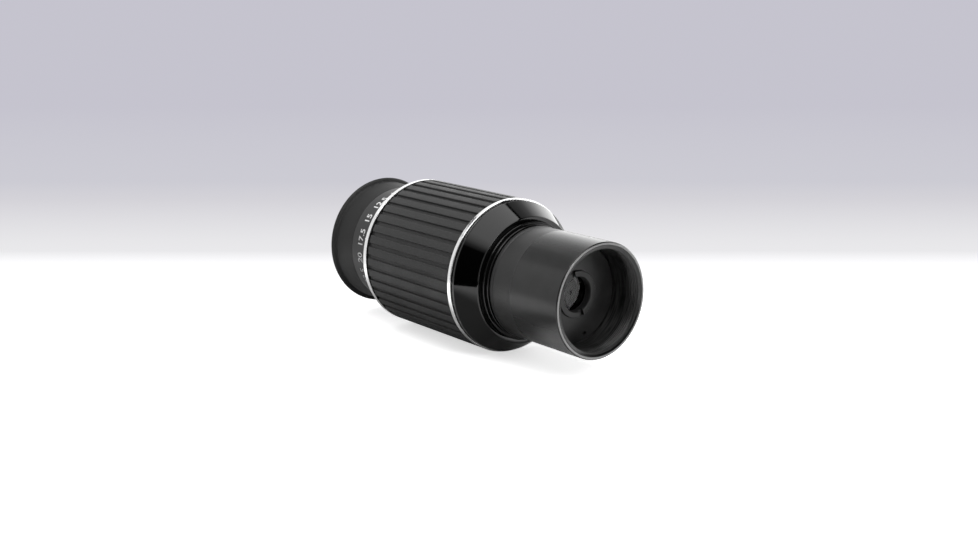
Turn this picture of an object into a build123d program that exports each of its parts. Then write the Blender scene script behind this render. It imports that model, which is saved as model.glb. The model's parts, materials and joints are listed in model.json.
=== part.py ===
from build123d import *
import os
from math import atan2, degrees

# Zoom telescope eyepiece with a 1.25 inch nose barrel, in millimetres.
# The optical axis is X: +X leaves through the barrel into the telescope, -X goes to the eye.
# The origin is on the axis, at the shoulder end of the barrel. +Z is up.

# ---- driving dimensions ------------------------------------------------------------------
barrel_r = 15.875               # standard 31.75 mm (1.25 inch) barrel
barrel_length = 27.2
cone_small_r = 18.2
cone_large_r = 21.7
cone_front_x = -2.3
cone_back_x = -8.4
housing_back_x = -9.3
grip_top_r = 22.15              # over the ribs
trim_r = 22.18                  # over the two bright rings
front_trim_x = -9.5             # front face of the front ring
grip_front_x = -10.7
grip_back_x = -51.2
rear_trim_back_x = -52.7
collar_r = 18.0
collar_back_x = -65.4
rim_x = -74.5                   # eye end of the rubber cup
rim_r = 20.05

bore_r = 13.7                   # the moving groups slide in this bore
running_gap = 0.05              # radial clearance of every running fit
thread_gap = 0.03               # radial clearance left between screwed pieces
wide_gap = 0.3                  # between pieces that only pass each other

guide_r = 16.5
cam_outer_r = 18.2
sleeve_outer_r = 20.9
guide_front_x = -5.0
guide_back_x = -57.0
cam_front_x = -9.75
cam_back_x = -50.0

zoom_turn = 120.0               # degrees from one end of the zoom to the other
pin_r = 1.25
pin_count = 3
field_pin_x = -15.0
field_travel = -11.0            # along X, over the whole turn
field_pin_angle = 90.0          # from +Y towards +Z
middle_pin_x = -44.0
middle_travel = 6.0
middle_pin_angle = 30.0

rib_count = 40
rib_width = 2.25
rib_start_angle = 3.2           # first rib, from +Y towards +Z
channel_floor_r = 21.5

filter_major_r = 14.25          # M28.5 x 0.6 filter thread
filter_minor_r = 13.95
filter_pitch = 0.6
filter_turns = 9

# ---- values that follow ------------------------------------------------------------------
carriage_r = bore_r - running_gap
cam_inner_r = guide_r + running_gap
sleeve_inner_r = cam_outer_r + thread_gap
grip_inner_r = sleeve_outer_r + thread_gap
straight_slot_w = 2 * (pin_r + running_gap)
cam_slot_gap = 0.15             # radial clearance of a pin in its helical slot
cam_slot_w = 2 * (pin_r + cam_slot_gap)
slot_end_room = 0.2             # left beyond the pin at each end of its travel
pin_top_r = cam_outer_r - 0.1
cut_room = 1.0                  # how far a cutter stands out of the wall it cuts
screw_hole_length = 8.0         # longer than any wall a screw hole goes through


def tube_profile(front_x, back_x, inner_r, outer_r):
    """Half section of a plain tube, drawn as (x, radius)."""
    corners = [(front_x, inner_r), (front_x, outer_r), (back_x, outer_r), (back_x, inner_r)]
    return turned_profile(corners)


def turned_profile(corners):
    """Half section of a turned piece: a closed outline of (x, radius) corners."""
    with BuildSketch(Plane.XZ) as outline:
        with BuildLine():
            Polyline(*corners, close=True)
        make_face()
    return outline.sketch


def lens_profile(front_x, back_x, front_bulge, back_bulge, edge_r):
    """Half section of a lens from its two vertices; a negative bulge is a hollow face."""
    with BuildSketch(Plane.XZ) as outline:
        with BuildLine():
            front = TangentArc((front_x, 0), (front_x - front_bulge, edge_r), tangent=(0, 1))
            back = TangentArc((back_x, 0), (back_x + back_bulge, edge_r), tangent=(0, 1))
            Line(front @ 1, back @ 1)
            Line(back @ 0, front @ 0)
        make_face()
    return outline.sketch


def radial_plane(x, angle, radius=0.0):
    """Plane whose normal points out from the axis, with its x direction along the axis."""
    outward = Vector(0, 1, 0).rotate(Axis.X, angle)
    return Plane(origin=Vector(x, 0, 0) + outward * radius, x_dir=(1, 0, 0), z_dir=outward)


def pin_angles(first_angle):
    return [first_angle + i * 360 / pin_count for i in range(pin_count)]


def cam_slot_cutter(pin_x, travel):
    """Cutter for one helical slot, whose end at pin_x lies at angle 0."""
    low_x = min(pin_x, pin_x + travel)
    slot_r = (cam_inner_r + cam_outer_r) / 2
    cut_depth = cam_outer_r - cam_inner_r + cut_room
    lead = abs(travel) * 360 / zoom_turn
    with BuildPart() as cutter:
        with BuildLine() as path:
            Helix(lead, abs(travel), slot_r, center=(low_x, 0, 0), direction=(1, 0, 0))
        start = path.line @ 0
        finish = path.line @ 1
        start_plane = Plane(origin=start, x_dir=(0, start.Y, start.Z), z_dir=path.line % 0)
        with BuildSketch(start_plane):
            Rectangle(cut_depth, cam_slot_w)
        sweep(path=path.line, is_frenet=True)
        for end in (start, finish):
            with Locations(Plane(origin=end, z_dir=(0, end.Y, end.Z))):
                Cylinder(cam_slot_w / 2, cut_depth)
    if travel < 0:
        return cutter.part.rotate(Axis.X, -degrees(atan2(finish.Z, finish.Y)))
    # a group that moves forwards needs a left-handed slot: the mirror image
    return cutter.part.rotate(Axis.X, -degrees(atan2(start.Z, start.Y))).mirror(Plane.XY)


# ---- nose barrel: slides into the focuser, with a filter thread inside its mouth -----------
barrel_flange_r = 16.7
barrel_bead_r = 16.1
barrel_groove_r = 15.3
spigot_r = 14.87
rim_chamfer = 0.3
rim_inner_r = 14.9
taper_front_x = 8.7
taper_back_x = 1.3
taper_depth = 0.15
land_x = 1.0
flange_front_x = -1.6
bead_back_x = -1.1
bead_front_x = -0.5
mouth_cone = 0.5                # length of the lead-in before the filter thread
relief_length = 0.6
relief_cone = 0.4

thread_start_x = barrel_length - mouth_cone
thread_corners = []
for turn in range(filter_turns):
    crest_x = thread_start_x - turn * filter_pitch
    thread_corners.append((crest_x, filter_minor_r))
    thread_corners.append((crest_x - filter_pitch / 3, filter_major_r))
    thread_corners.append((crest_x - filter_pitch * 2 / 3, filter_minor_r))
thread_end_x = thread_start_x - filter_turns * filter_pitch
relief_back_x = thread_end_x - relief_length

with BuildPart() as nose_barrel:
    revolve(
        turned_profile(
            [
                (guide_front_x, bore_r),
                (guide_front_x, spigot_r),
                (cone_front_x, spigot_r),
                (cone_front_x, barrel_flange_r),
                (flange_front_x, barrel_flange_r),
                (flange_front_x, barrel_groove_r),
                (bead_back_x, barrel_groove_r),
                (bead_back_x, barrel_bead_r),
                (bead_front_x, barrel_bead_r),
                (bead_front_x, barrel_groove_r),
                (0, barrel_groove_r),
                (0, barrel_r),
                (land_x, barrel_r),
                (taper_back_x, barrel_r - taper_depth),
                (taper_front_x, barrel_r),
                (barrel_length - rim_chamfer, barrel_r),
                (barrel_length, barrel_r - rim_chamfer),
                (barrel_length, rim_inner_r),
                *thread_corners,
                (thread_end_x, filter_minor_r),
                (thread_end_x, filter_major_r),
                (relief_back_x, filter_major_r),
                (relief_back_x - relief_cone, bore_r),
            ]
        ),
        axis=Axis.X,
    )
nose_barrel.part.label = "nose_barrel"

# ---- shoulder housing: the cone that joins the barrel to the guide tube --------------------
ball_r = 0.75
ball_circle_r = 19.1
ball_hole_r = ball_r + thread_gap
ball_hole_x = -6.4              # bottom of the blind hole for the click spring
edge_break = 0.25

with BuildPart() as shoulder_housing:
    revolve(
        turned_profile(
            [
                (cone_front_x, spigot_r + thread_gap),
                (cone_front_x, cone_small_r - edge_break),
                (cone_front_x - edge_break, cone_small_r),
                (cone_back_x, cone_large_r),
                (housing_back_x + edge_break, cone_large_r),
                (housing_back_x, cone_large_r - edge_break),
                (housing_back_x, guide_r + thread_gap),
                (guide_front_x, guide_r + thread_gap),
                (guide_front_x, spigot_r + thread_gap),
            ]
        ),
        axis=Axis.X,
    )
    with BuildSketch(Plane.YZ.offset(housing_back_x)):
        with Locations((0, ball_circle_r)):
            Circle(ball_hole_r)
    extrude(amount=ball_hole_x - housing_back_x, mode=Mode.SUBTRACT)
shoulder_housing.part.label = "shoulder_housing"

# ---- guide tube: fixed tube whose straight slots keep the lens groups from turning ----------
with BuildPart() as guide_tube:
    revolve(tube_profile(guide_front_x, guide_back_x, bore_r, guide_r), axis=Axis.X)
    for pin_x, travel, first_angle in (
        (field_pin_x, field_travel, field_pin_angle),
        (middle_pin_x, middle_travel, middle_pin_angle),
    ):
        for angle in pin_angles(first_angle):
            with BuildSketch(radial_plane(pin_x + travel / 2, angle)):
                SlotCenterToCenter(abs(travel) + 2 * slot_end_room, straight_slot_w)
            extrude(amount=guide_r + cut_room, mode=Mode.SUBTRACT)
guide_tube.part.label = "guide_tube"

# ---- cam sleeve: turns with the grip; its helical slots drive the lens groups ---------------
drive_x = -32.0
drive_angles = [30, 150, 270]
drive_r = 1.0
drive_hole_r = drive_r + thread_gap

field_cutter = cam_slot_cutter(field_pin_x, field_travel)
middle_cutter = cam_slot_cutter(middle_pin_x, middle_travel)

with BuildPart() as cam_sleeve:
    revolve(tube_profile(cam_front_x, cam_back_x, cam_inner_r, cam_outer_r), axis=Axis.X)
    for angle in pin_angles(field_pin_angle):
        add(field_cutter, rotation=(angle, 0, 0), mode=Mode.SUBTRACT)
    for angle in pin_angles(middle_pin_angle):
        add(middle_cutter, rotation=(angle, 0, 0), mode=Mode.SUBTRACT)
    for angle in drive_angles:
        with Locations(radial_plane(drive_x, angle, cam_outer_r)):
            Cylinder(drive_hole_r, screw_hole_length, mode=Mode.SUBTRACT)
cam_sleeve.part.label = "cam_sleeve"

# ---- zoom sleeve: carries the grip and the trim rings; dimples in its front face click -------
sleeve_front_x = -9.9
sleeve_back_x = -52.1
keeper_front_x = -50.9
keeper_back_x = -51.8
keeper_r = 19.6
sleeve_relief_r = keeper_r + wide_gap + 0.1
track_depth = 0.3
track_outer_r = ball_circle_r + 0.7
click_count = 7
dimple_r = 0.85
dimple_x = sleeve_front_x + 0.35
first_click_angle = 90

with BuildPart() as zoom_sleeve:
    revolve(
        turned_profile(
            [
                (sleeve_front_x - track_depth, sleeve_inner_r),
                (sleeve_front_x - track_depth, track_outer_r),
                (sleeve_front_x, track_outer_r),
                (sleeve_front_x, sleeve_outer_r),
                (sleeve_back_x, sleeve_outer_r),
                (sleeve_back_x, sleeve_relief_r),
                (cam_back_x, sleeve_relief_r),
                (cam_back_x, sleeve_inner_r),
            ]
        ),
        axis=Axis.X,
    )
    for click in range(click_count):
        click_angle = first_click_angle - click * zoom_turn / (click_count - 1)
        with Locations(radial_plane(dimple_x, click_angle, ball_circle_r)):
            Sphere(dimple_r, mode=Mode.SUBTRACT)
    for angle in drive_angles:
        with Locations(radial_plane(drive_x, angle, sleeve_outer_r)):
            Cylinder(drive_hole_r, screw_hole_length, mode=Mode.SUBTRACT)
zoom_sleeve.part.label = "zoom_sleeve"

# ---- drive screws: lock the cam sleeve to the zoom sleeve ------------------------------------
drive_length = 3.4
drive_top_r = sleeve_outer_r - 0.1
socket_r = 0.45
socket_cut = 2.0                # half of it goes into the screw

with BuildPart() as drive_screws:
    for angle in drive_angles:
        with Locations(radial_plane(drive_x, angle, drive_top_r - drive_length / 2)):
            Cylinder(drive_r, drive_length)
        with Locations(radial_plane(drive_x, angle, drive_top_r)):
            Cylinder(socket_r, socket_cut, mode=Mode.SUBTRACT)
drive_screws.part.label = "drive_screws"

# ---- trim rings: the two bright rings that close the grip ------------------------------------
trim_chamfer = 0.12
front_lip_r = 20.2              # the front ring hooks over the sleeve's front edge
lip_gap = 0.05

with BuildPart() as front_trim_ring:
    revolve(
        turned_profile(
            [
                (front_trim_x, front_lip_r),
                (front_trim_x, trim_r - trim_chamfer),
                (front_trim_x - trim_chamfer, trim_r),
                (grip_front_x, trim_r),
                (grip_front_x, grip_inner_r),
                (sleeve_front_x + lip_gap, grip_inner_r),
                (sleeve_front_x + lip_gap, front_lip_r),
            ]
        ),
        axis=Axis.X,
    )
front_trim_ring.part.label = "front_trim_ring"

with BuildPart() as rear_trim_ring:
    revolve(
        turned_profile(
            [
                (grip_back_x, grip_inner_r),
                (grip_back_x, trim_r),
                (rear_trim_back_x + trim_chamfer, trim_r),
                (rear_trim_back_x, trim_r - trim_chamfer),
                (rear_trim_back_x, collar_r + wide_gap),
                (sleeve_back_x, collar_r + wide_gap),
                (sleeve_back_x, grip_inner_r),
            ]
        ),
        axis=Axis.X,
    )
rear_trim_ring.part.label = "rear_trim_ring"

# ---- rubber grip: ribbed sleeve stretched over the zoom sleeve --------------------------------
rib_back_x = grip_back_x + 0.9
rib_root = 0.3                  # how deep each rib runs into the sleeve under it
rib_depth = grip_top_r - channel_floor_r + rib_root

with BuildPart() as rubber_grip:
    revolve(tube_profile(grip_front_x, grip_back_x, grip_inner_r, channel_floor_r), axis=Axis.X)
    with BuildSketch(Plane.YZ.offset(rib_back_x)):
        with PolarLocations(grip_top_r - rib_depth / 2, rib_count, start_angle=rib_start_angle):
            Rectangle(rib_depth, rib_width)
    extrude(amount=grip_front_x - rib_back_x)
rubber_grip.part.label = "rubber_grip"

# ---- washers and keeper: hold the turning sleeves endways --------------------------------------
washer_outer_r = 18.0
washer_inner_r = 16.8
end_play = 0.05
front_washer_back_x = cam_front_x + end_play
rear_washer_front_x = cam_back_x - end_play

with BuildPart() as front_thrust_washer:
    revolve(tube_profile(housing_back_x, front_washer_back_x, washer_inner_r, washer_outer_r), axis=Axis.X)
front_thrust_washer.part.label = "front_thrust_washer"

with BuildPart() as rear_thrust_washer:
    revolve(tube_profile(rear_washer_front_x, keeper_front_x, washer_inner_r, washer_outer_r), axis=Axis.X)
rear_thrust_washer.part.label = "rear_thrust_washer"

with BuildPart() as keeper_ring:
    revolve(tube_profile(keeper_front_x, keeper_back_x, guide_r + thread_gap, keeper_r), axis=Axis.X)
keeper_ring.part.label = "keeper_ring"

# ---- click stop: a ball pressed by a spring into the dimples of the zoom sleeve ----------------
wire_r = 0.1
spring_r = 0.55
spring_pitch = 0.48
spring_x = housing_back_x + 0.72

with BuildPart() as click_ball:
    with Locations((housing_back_x, 0, ball_circle_r)):
        Sphere(ball_r)
click_ball.part.label = "click_ball"

with BuildPart() as click_spring:
    with BuildLine() as coil:
        Helix(
            spring_pitch,
            ball_hole_x - spring_x - 2 * wire_r,
            spring_r,
            center=(spring_x + wire_r, 0, ball_circle_r),
            direction=(1, 0, 0),
        )
    with BuildSketch(Plane(origin=coil.line @ 0, z_dir=coil.line % 0)):
        Circle(wire_r)
    sweep(path=coil.line, is_frenet=True)
click_spring.part.label = "click_spring"

# ---- eye collar: fixed ring with the focal-length scale, screwed to the guide tube -------------
collar_front_x = -52.0
spigot_outer_r = 16.6
spigot_lip_r = 17.1
spigot_back_x = -69.0
lip_length = 0.6                # the lip that holds the eyecup on
lip_cone = 0.4
cell_r = 15.15
grub_x = -55.0
grub_r = 0.9
grub_length = 1.3
grub_foot_r = guide_r + 0.05

with BuildPart() as eye_collar:
    revolve(
        turned_profile(
            [
                (collar_front_x, guide_r + thread_gap),
                (collar_front_x, collar_r),
                (collar_back_x, collar_r),
                (collar_back_x, spigot_outer_r),
                (spigot_back_x + lip_length + lip_cone, spigot_outer_r),
                (spigot_back_x + lip_length, spigot_lip_r),
                (spigot_back_x, spigot_lip_r),
                (spigot_back_x, cell_r + thread_gap),
                (guide_back_x, cell_r + thread_gap),
                (guide_back_x, guide_r + thread_gap),
            ]
        ),
        axis=Axis.X,
    )
    for angle in drive_angles:
        with Locations(radial_plane(grub_x, angle, collar_r)):
            Cylinder(grub_r + thread_gap, 2 * (collar_r - guide_r) + cut_room, mode=Mode.SUBTRACT)
eye_collar.part.label = "eye_collar"

with BuildPart() as collar_screws:
    for angle in drive_angles:
        with Locations(radial_plane(grub_x, angle, grub_foot_r + grub_length / 2)):
            Cylinder(grub_r, grub_length)
        with Locations(radial_plane(grub_x, angle, grub_foot_r + grub_length)):
            Cylinder(socket_r, grub_length, mode=Mode.SUBTRACT)
collar_screws.part.label = "collar_screws"

# ---- eyecup: soft rubber cup stretched over the collar's spigot --------------------------------
cup_waist = [(-69.5, 18.45), (-73.3, 19.0)]
cup_rim = [(-73.6, 19.5), (-74.0, 19.95), (-74.25, rim_r), (rim_x, 19.8), (rim_x, 19.2)]
cup_inside = [(-74.2, 18.7), (-73.4, 18.0), (-71.0, 17.1), (-69.6, 16.2)]
cup_seat_x = spigot_back_x - 0.1
cup_lip_x = -68.3
cup_spigot_x = -67.9

with BuildPart() as eyecup:
    revolve(
        turned_profile(
            [
                (collar_back_x, spigot_outer_r + thread_gap),
                (collar_back_x, collar_r),
                *cup_waist,
                *cup_rim,
                *cup_inside,
                (cup_seat_x, cup_inside[-1][1]),
                (cup_seat_x, spigot_lip_r + thread_gap),
                (cup_lip_x, spigot_lip_r + thread_gap),
                (cup_spigot_x, spigot_outer_r + thread_gap),
            ]
        ),
        axis=Axis.X,
    )
eyecup.part.label = "eyecup"

# ---- eye group: a cemented doublet and the eye lens in a fixed cell ----------------------------
eye_lens_r = 12.5
eye_seat_r = 11.2
eye_spacer_r = 11.6
cell_front_x = guide_back_x - 0.2
cell_back_x = -68.6
seat_x = -58.0                  # front edge of the doublet rests here
flint_hollow = 0.45
cement_sag = 1.6
cement_x = -59.4
cement_gap = 0.02
crown_back_x = -64.0
crown_back_bulge = 1.2
eye_lens_front_x = -64.25
eye_lens_back_x = -67.4
eye_lens_front_bulge = 1.2
eye_lens_back_bulge = 0.5
eye_thread_r = 13.4
eye_thread_x = eye_lens_back_x + eye_lens_back_bulge
eye_spacer_front_x = -63.0
eye_spacer_back_x = -65.25

with BuildPart() as eye_cell:
    revolve(
        turned_profile(
            [
                (cell_front_x, eye_seat_r),
                (cell_front_x, cell_r),
                (cell_back_x, cell_r),
                (cell_back_x, eye_thread_r),
                (eye_thread_x, eye_thread_r),
                (eye_thread_x, eye_lens_r + thread_gap),
                (seat_x, eye_lens_r + thread_gap),
                (seat_x, eye_seat_r),
            ]
        ),
        axis=Axis.X,
    )
eye_cell.part.label = "eye_cell"

with BuildPart() as eye_doublet_flint:
    revolve(
        lens_profile(seat_x - flint_hollow, cement_x, -flint_hollow, -cement_sag, eye_lens_r),
        axis=Axis.X,
    )
eye_doublet_flint.part.label = "eye_doublet_flint"

with BuildPart() as eye_doublet_crown:
    revolve(
        lens_profile(cement_x - cement_gap, crown_back_x, cement_sag, crown_back_bulge, eye_lens_r),
        axis=Axis.X,
    )
eye_doublet_crown.part.label = "eye_doublet_crown"

with BuildPart() as eye_spacer:
    revolve(
        tube_profile(eye_spacer_front_x, eye_spacer_back_x, eye_spacer_r, eye_lens_r - running_gap),
        axis=Axis.X,
    )
eye_spacer.part.label = "eye_spacer"

with BuildPart() as eye_lens:
    revolve(
        lens_profile(
            eye_lens_front_x, eye_lens_back_x, eye_lens_front_bulge, eye_lens_back_bulge, eye_lens_r
        ),
        axis=Axis.X,
    )
eye_lens.part.label = "eye_lens"

eye_ring_front_x = -67.0
eye_ring_back_x = -68.2
eye_ring_open_r = 12.4
eye_slot_r = 12.9               # of the middle of its two spanner slots
eye_slot_length = 1.6
eye_slot_width = 1.0
eye_slot_depth = 0.7

with BuildPart() as eye_retaining_ring:
    revolve(
        turned_profile(
            [
                (eye_ring_front_x, eye_spacer_r),
                (eye_ring_front_x, eye_thread_r - thread_gap),
                (eye_ring_back_x, eye_thread_r - thread_gap),
                (eye_ring_back_x, eye_ring_open_r),
            ]
        ),
        axis=Axis.X,
    )
    with BuildSketch(Plane.YZ.offset(eye_ring_back_x)):
        with PolarLocations(eye_slot_r, 2):
            Rectangle(eye_slot_length, eye_slot_width)
    extrude(amount=eye_slot_depth, mode=Mode.SUBTRACT)
eye_retaining_ring.part.label = "eye_retaining_ring"

# ---- field group: a hollow-faced doublet that slides inside the barrel -------------------------
field_cell_x = 17.4
field_cell_back_x = 10.0
carriage_front_x = 15.4
carriage_back_x = -18.0
carriage_inner_r = 12.3
field_lens_r = 6.3
field_ring_r = 6.5
field_ring_hole_r = 4.76
spanner_angle = -74.0           # of the line through the spanner holes and slots
spanner_circle_r = 11.9
field_ring_front_x = 18.0
field_ring_back_x = 15.75
field_seat_x = 15.7
field_lens_seat_r = 5.2
field_lens_seat_x = field_cell_back_x + 0.8
disc_chamfer = 0.15
ring_edge = 0.12
ring_mouth = 0.25
spanner_hole_r = 0.55
spanner_hole_depth = 1.2
ring_slot_length = 2.4
ring_slot_width = 1.3
ring_slot_depth = 0.9
ring_slot_r = field_ring_r - 0.8

with BuildPart() as field_cell:
    revolve(
        turned_profile(
            [
                (field_cell_x, field_ring_r + thread_gap),
                (field_cell_x, carriage_r - disc_chamfer),
                (field_cell_x - disc_chamfer, carriage_r),
                (carriage_front_x, carriage_r),
                (carriage_front_x, carriage_inner_r - thread_gap),
                (field_cell_back_x, carriage_inner_r - thread_gap),
                (field_cell_back_x, field_lens_seat_r),
                (field_lens_seat_x, field_lens_seat_r),
                (field_lens_seat_x, field_lens_r + thread_gap),
                (field_seat_x, field_lens_r + thread_gap),
                (field_seat_x, field_ring_r + thread_gap),
            ]
        ),
        axis=Axis.X,
    )
    with BuildSketch(Plane.YZ.offset(field_cell_x)):
        with PolarLocations(spanner_circle_r, 2, start_angle=spanner_angle):
            Circle(spanner_hole_r)
    extrude(amount=-spanner_hole_depth, mode=Mode.SUBTRACT)
field_cell.part.label = "field_cell"

with BuildPart() as field_retaining_ring:
    revolve(
        turned_profile(
            [
                (field_ring_front_x, field_ring_hole_r + ring_mouth),
                (field_ring_front_x, field_ring_r - ring_edge),
                (field_ring_front_x - ring_edge, field_ring_r),
                (field_ring_back_x, field_ring_r),
                (field_ring_back_x, field_ring_hole_r),
                (field_ring_front_x - ring_mouth, field_ring_hole_r),
            ]
        ),
        axis=Axis.X,
    )
    with BuildSketch(Plane.YZ.offset(field_ring_front_x)):
        with PolarLocations(ring_slot_r, 2, start_angle=spanner_angle):
            Rectangle(ring_slot_length, ring_slot_width)
    extrude(amount=-ring_slot_depth, mode=Mode.SUBTRACT)
field_retaining_ring.part.label = "field_retaining_ring"

field_front_x = 14.9            # vertices of the two lenses along the axis
field_cement_x = 13.9
field_rear_x = 11.0
field_front_hollow = 0.75
field_cement_sag = 1.2
field_rear_hollow = 0.2

with BuildPart() as field_lens_front:
    revolve(
        lens_profile(field_front_x, field_cement_x, -field_front_hollow, -field_cement_sag, field_lens_r),
        axis=Axis.X,
    )
field_lens_front.part.label = "field_lens_front"

with BuildPart() as field_lens_rear:
    revolve(
        lens_profile(
            field_cement_x - cement_gap, field_rear_x, field_cement_sag, -field_rear_hollow, field_lens_r
        ),
        axis=Axis.X,
    )
field_lens_rear.part.label = "field_lens_rear"

with BuildPart() as field_carriage:
    revolve(tube_profile(carriage_front_x, carriage_back_x, carriage_inner_r, carriage_r), axis=Axis.X)
    for angle in pin_angles(field_pin_angle):
        with Locations(radial_plane(field_pin_x, angle, carriage_r)):
            Cylinder(pin_r + thread_gap, screw_hole_length, mode=Mode.SUBTRACT)
field_carriage.part.label = "field_carriage"

stop_front_x = -6.0
stop_back_x = -7.0
stop_hole_r = 9.5

with BuildPart() as field_stop:
    revolve(
        tube_profile(stop_front_x, stop_back_x, stop_hole_r, carriage_inner_r - cement_gap), axis=Axis.X
    )
field_stop.part.label = "field_stop"


def follower_pins(pin_x, first_angle, foot_r):
    """Radial pins from a carriage wall, through the straight slots, into the cam slots."""
    with BuildPart() as pins:
        for angle in pin_angles(first_angle):
            with Locations(radial_plane(pin_x, angle, (foot_r + pin_top_r) / 2)):
                Cylinder(pin_r, pin_top_r - foot_r)
    return pins


field_pin_foot_r = carriage_inner_r + 0.1
field_follower_pins = follower_pins(field_pin_x, field_pin_angle, field_pin_foot_r)
field_follower_pins.part.label = "field_follower_pins"

# ---- middle group: a cemented doublet in a short carriage that moves the other way -------------
middle_front_x = -38.0
middle_back_x = -48.5
middle_lens_r = 10.6
middle_seat_r = 9.8
middle_seat_x = middle_back_x + 1.0
middle_thread_r = 11.4
middle_thread_x = -42.75
middle_ring_front_x = -40.6
middle_ring_back_x = -42.45
middle_ring_hole_r = 9.9
middle_crown_x = -41.0
middle_cement_x = -46.28
middle_flint_back_x = middle_seat_x - 0.33
middle_crown_bulge = 1.7
middle_cement_bulge = 1.5
middle_flint_bulge = 0.4
middle_pin_foot_r = carriage_r - 1.9

with BuildPart() as middle_carriage:
    revolve(
        turned_profile(
            [
                (middle_front_x, middle_thread_r),
                (middle_front_x, carriage_r),
                (middle_back_x, carriage_r),
                (middle_back_x, middle_seat_r),
                (middle_seat_x, middle_seat_r),
                (middle_seat_x, middle_lens_r + thread_gap),
                (middle_thread_x, middle_lens_r + thread_gap),
                (middle_thread_x, middle_thread_r),
            ]
        ),
        axis=Axis.X,
    )
    for angle in pin_angles(middle_pin_angle):
        with Locations(radial_plane(middle_pin_x, angle, carriage_r)):
            Cylinder(pin_r + thread_gap, screw_hole_length, mode=Mode.SUBTRACT)
middle_carriage.part.label = "middle_carriage"

with BuildPart() as middle_doublet_crown:
    revolve(
        lens_profile(
            middle_crown_x, middle_cement_x, middle_crown_bulge, middle_cement_bulge, middle_lens_r
        ),
        axis=Axis.X,
    )
middle_doublet_crown.part.label = "middle_doublet_crown"

with BuildPart() as middle_doublet_flint:
    revolve(
        lens_profile(
            middle_cement_x - cement_gap,
            middle_flint_back_x,
            -middle_cement_bulge,
            middle_flint_bulge,
            middle_lens_r,
        ),
        axis=Axis.X,
    )
middle_doublet_flint.part.label = "middle_doublet_flint"

with BuildPart() as middle_retaining_ring:
    revolve(
        tube_profile(
            middle_ring_front_x, middle_ring_back_x, middle_ring_hole_r, middle_thread_r - thread_gap
        ),
        axis=Axis.X,
    )
middle_retaining_ring.part.label = "middle_retaining_ring"

middle_follower_pins = follower_pins(middle_pin_x, middle_pin_angle, middle_pin_foot_r)
middle_follower_pins.part.label = "middle_follower_pins"

# ---- write every piece --------------------------------------------------------------------------
os.makedirs("parts", exist_ok=True)
for piece in (
    nose_barrel,
    shoulder_housing,
    guide_tube,
    cam_sleeve,
    zoom_sleeve,
    drive_screws,
    front_trim_ring,
    rear_trim_ring,
    rubber_grip,
    front_thrust_washer,
    rear_thrust_washer,
    keeper_ring,
    click_ball,
    click_spring,
    eye_collar,
    collar_screws,
    eyecup,
    eye_cell,
    eye_doublet_flint,
    eye_doublet_crown,
    eye_spacer,
    eye_lens,
    eye_retaining_ring,
    field_cell,
    field_retaining_ring,
    field_lens_front,
    field_lens_rear,
    field_carriage,
    field_stop,
    field_follower_pins,
    middle_carriage,
    middle_doublet_crown,
    middle_doublet_flint,
    middle_retaining_ring,
    middle_follower_pins,
):
    export_step(piece.part, f"parts/{piece.part.label}.step")
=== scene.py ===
import json
import math

import bpy
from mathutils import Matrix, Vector


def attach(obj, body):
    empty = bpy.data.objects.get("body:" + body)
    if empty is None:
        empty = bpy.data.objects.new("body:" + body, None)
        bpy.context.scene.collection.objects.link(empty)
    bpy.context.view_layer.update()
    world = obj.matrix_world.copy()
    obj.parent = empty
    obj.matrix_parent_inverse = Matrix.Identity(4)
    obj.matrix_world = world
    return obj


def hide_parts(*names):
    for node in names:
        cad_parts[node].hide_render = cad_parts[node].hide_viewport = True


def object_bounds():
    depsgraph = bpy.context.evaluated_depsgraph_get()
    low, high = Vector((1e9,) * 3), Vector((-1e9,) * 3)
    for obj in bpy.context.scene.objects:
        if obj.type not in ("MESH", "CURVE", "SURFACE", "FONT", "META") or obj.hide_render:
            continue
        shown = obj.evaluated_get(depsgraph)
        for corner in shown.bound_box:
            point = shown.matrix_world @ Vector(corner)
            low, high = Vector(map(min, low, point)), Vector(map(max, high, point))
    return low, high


# Looks of a zoom telescope eyepiece, built around its CAD frame. Outlines are in millimetres,
# as (x, radius) about the optical axis X, and become metres when a mesh is made.

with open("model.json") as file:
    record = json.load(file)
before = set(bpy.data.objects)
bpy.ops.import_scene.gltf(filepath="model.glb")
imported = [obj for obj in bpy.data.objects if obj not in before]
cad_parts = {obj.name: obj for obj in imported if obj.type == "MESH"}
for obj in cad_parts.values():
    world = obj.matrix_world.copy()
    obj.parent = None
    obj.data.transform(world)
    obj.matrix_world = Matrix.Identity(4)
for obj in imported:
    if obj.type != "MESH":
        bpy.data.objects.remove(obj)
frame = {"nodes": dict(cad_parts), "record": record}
cad_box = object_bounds()
nodes = frame["nodes"]

MM = 0.001
SEGMENTS = 256                  # round a turned piece
FLOOR_Z = cad_box[0].z

# main sizes in mm; radii are about the optical axis, stations along it
BARREL_R, BARREL_FRONT = 15.875, 27.2
BORE_R = 13.7
RIM_IN_R = 14.9                 # inner edge of the flat at the barrel's mouth
CHAMFER = 0.3
UNDERCUT_FRONT = 8.7
SHOULDER_X = -2.3               # where the flange ends and the cone starts
FLANGE_R, BEAD_R, GROOVE_R = 16.7, 16.1, 15.3
RING_R, GRIP_BORE = 22.18, 20.93
CHANNEL_FLOOR = 21.5            # between the grip's ribs
RIB_BACK = -50.3
COLLAR_R, TUBE_R = 18.0, 16.53


# ---- camera ------------------------------------------------------------------------------
CAMERA_AT = Vector((0.25016, -0.21688, 0.08212))
CAMERA_FORWARD = Vector((-0.75784, 0.60850, -0.23538))
CAMERA_LENS = 45.02

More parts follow.
